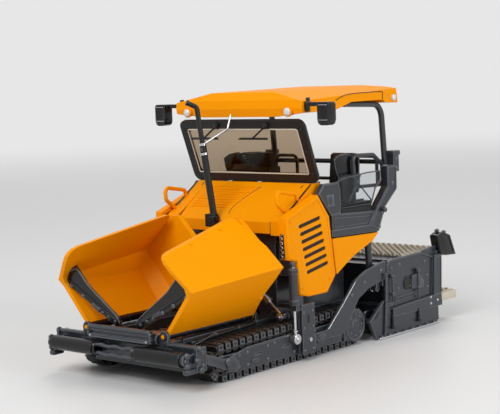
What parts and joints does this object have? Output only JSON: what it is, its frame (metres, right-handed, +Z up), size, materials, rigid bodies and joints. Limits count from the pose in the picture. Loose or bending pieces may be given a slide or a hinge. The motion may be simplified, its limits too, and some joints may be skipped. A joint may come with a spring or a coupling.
{
  "type": "asphalt paver scale model",
  "caption": "Tracked asphalt paver scale model with tilting hopper wings, push rollers, louvred hood, roofed driver's stand and a lifting, extending screed.",
  "frame": {"origin": "on the floor, at the middle of the bounding box", "axes": "+Z up, -Y towards the hopper at the front, +X to the machine's left"},
  "size_m": [0.0682, 0.13, 0.0773],
  "materials": {
    "amber_paint": "semi-gloss enamel",
    "anthracite_paint": "satin enamel",
    "black_plastic": "fine matte",
    "gloss_black": "glossy",
    "track_plastic": "matte, moulded",
    "flap_rubber": "soft sheen",
    "bright_metal": "turned, bright",
    "tinted_glass": "clear tinted",
    "clear_panel": "clear",
    "cream_boards": "ribbed",
    "copper_belt": "satin",
    "lamp_lens": "domed lens",
    "seat_plastic": "fine grain"
  },
  "bodies": {
    "tractor": {"auger_case": "anthracite_paint", "bright_pins": "bright_metal", "chassis": "anthracite_paint", "conveyor": "copper_belt", "dashboard": "black_plastic", "fenders": "amber_paint", "front_bracket": "anthracite_paint", "grab_handles": "amber_paint", "guard_rails": "anthracite_paint", "guide_rail_left": "anthracite_paint", "guide_rail_right": "anthracite_paint", "hood": "amber_paint", "lift_pins": "bright_metal", "mirrors": "black_plastic", "platform": "anthracite_paint", "roof": "amber_paint", "roof_lamps": "lamp_lens", "roof_tubes": "anthracite_paint", "seats": "seat_plastic", "side_panel_left": "amber_paint", "side_panel_right": "amber_paint", "side_screens": "clear_panel", "stack": "black_plastic", "stack_brace": "bright_metal", "track_frame_left": "anthracite_paint", "track_frame_right": "anthracite_paint", "track_left": "track_plastic", "track_right": "track_plastic", "tractor_body": "anthracite_paint", "windscreen_frame": "black_plastic", "windscreen_glass": "tinted_glass", "wipers": "black_plastic"},
    "wing_left": {"wing_left": "amber_paint", "wing_flap_left": "flap_rubber"},
    "wing_right": {"wing_right": "amber_paint", "wing_flap_right": "flap_rubber"},
    "ram_barrel_left": {"wing_barrel_left": "bright_metal"},
    "ram_barrel_right": {"wing_barrel_right": "bright_metal"},
    "ram_rod_left": {"wing_rod_left": "bright_metal"},
    "ram_rod_right": {"wing_rod_right": "bright_metal"},
    "apron": {"apron": "anthracite_paint"},
    "push_beam": {"push_beam": "anthracite_paint"},
    "roller_left": {"push_roller_left": "gloss_black"},
    "roller_right": {"push_roller_right": "gloss_black"},
    "screed": {"tow_arm_left": "anthracite_paint", "tow_arm_right": "anthracite_paint", "screed_main": "anthracite_paint", "screed_deck": "cream_boards"},
    "extension_left": {"screed_ext_left": "anthracite_paint", "end_gate_left": "anthracite_paint", "rear_walk_left": "cream_boards", "control_box_left": "black_plastic"},
    "extension_right": {"screed_ext_right": "anthracite_paint", "end_gate_right": "anthracite_paint", "rear_walk_right": "cream_boards", "control_box_right": "black_plastic"},
    "lift_barrels": {"lift_barrels": "anthracite_paint"},
    "lift_rods": {"lift_rods": "bright_metal"},
    "auger_left": {"auger_left": "anthracite_paint"},
    "auger_right": {"auger_right": "anthracite_paint"}
  },
  "joints": [
    {"name": "wing_left_hinge", "type": "hinge", "parent": "tractor", "child": "wing_left", "pos_m": [0.015, -0.04, 0.0137], "axis": [0, 1, 0], "range_deg": [0, 42]},
    {"name": "ram_barrel_left_pin", "type": "hinge", "parent": "wing_left", "child": "ram_barrel_left", "pos_m": [0.0112, -0.0183, 0.022], "axis": [0, 1, 0], "range_deg": [-17.7, 0.5]},
    {"name": "ram_rod_left_slide", "type": "slide", "parent": "ram_barrel_left", "child": "ram_rod_left", "axis": [0.7836, 0, -0.6212], "range_m": [-0.0041, 0.0002]},
    {"name": "push_roller_left_spin", "type": "hinge", "parent": "push_beam", "child": "roller_left", "pos_m": [0.0166, -0.06295, 0.009], "axis": [1, 0, 0], "continuous": true},
    {"name": "extension_left_slide", "type": "slide", "parent": "screed", "child": "extension_left", "axis": [1, 0, 0], "range_m": [0, 0.022]},
    {"name": "auger_left_spin", "type": "hinge", "parent": "tractor", "child": "auger_left", "pos_m": [0.0133, 0.0216, 0.0054], "axis": [1, 0, 0], "continuous": true},
    {"name": "wing_right_hinge", "type": "hinge", "parent": "tractor", "child": "wing_right", "pos_m": [-0.015, -0.04, 0.0137], "axis": [0, -1, 0], "range_deg": [0, 42]},
    {"name": "ram_barrel_right_pin", "type": "hinge", "parent": "wing_right", "child": "ram_barrel_right", "pos_m": [-0.0112, -0.0183, 0.022], "axis": [0, -1, 0], "range_deg": [-17.7, 0.5]},
    {"name": "ram_rod_right_slide", "type": "slide", "parent": "ram_barrel_right", "child": "ram_rod_right", "axis": [-0.7836, 0, -0.6212], "range_m": [-0.0041, 0.0002]},
    {"name": "push_roller_right_spin", "type": "hinge", "parent": "push_beam", "child": "roller_right", "pos_m": [-0.0166, -0.06295, 0.009], "axis": [1, 0, 0], "continuous": true},
    {"name": "extension_right_slide", "type": "slide", "parent": "screed", "child": "extension_right", "axis": [-1, 0, 0], "range_m": [0, 0.022]},
    {"name": "auger_right_spin", "type": "hinge", "parent": "tractor", "child": "auger_right", "pos_m": [-0.0133, 0.0216, 0.0054], "axis": [1, 0, 0], "continuous": true},
    {"name": "apron_hinge", "type": "hinge", "parent": "tractor", "child": "apron", "pos_m": [0, -0.0596, 0.0127], "axis": [-1, 0, 0], "range_deg": [0, 35]},
    {"name": "push_beam_swivel", "type": "hinge", "parent": "tractor", "child": "push_beam", "pos_m": [0, -0.0581, 0.009], "axis": [0, 0, 1], "range_deg": [-4, 4]},
    {"name": "screed_lift", "type": "hinge", "parent": "tractor", "child": "screed", "pos_m": [0, -0.0126, 0.0061], "axis": [1, 0, 0], "range_deg": [0, 8]},
    {"name": "lift_barrels_pin", "type": "hinge", "parent": "tractor", "child": "lift_barrels", "pos_m": [0, 0.0218, 0.031], "axis": [1, 0, 0], "range_deg": [-8, 0.5]},
    {"name": "lift_rods_slide", "type": "slide", "parent": "lift_barrels", "child": "lift_rods", "axis": [0, 0.0519, -0.9987], "range_m": [-0.0051, 0.0002]}
  ],
  "couplings": [
    {"joint": "ram_barrel_left_pin", "follows": "wing_left_hinge", "ratio": -0.40712},
    {"joint": "ram_rod_left_slide", "follows": "wing_left_hinge", "m_per_rad": -0.005111},
    {"joint": "ram_barrel_right_pin", "follows": "wing_right_hinge", "ratio": -0.40712},
    {"joint": "ram_rod_right_slide", "follows": "wing_right_hinge", "m_per_rad": -0.005111},
    {"joint": "lift_barrels_pin", "follows": "screed_lift", "ratio": -0.84997},
    {"joint": "lift_rods_slide", "follows": "screed_lift", "m_per_rad": -0.034577}
  ]
}
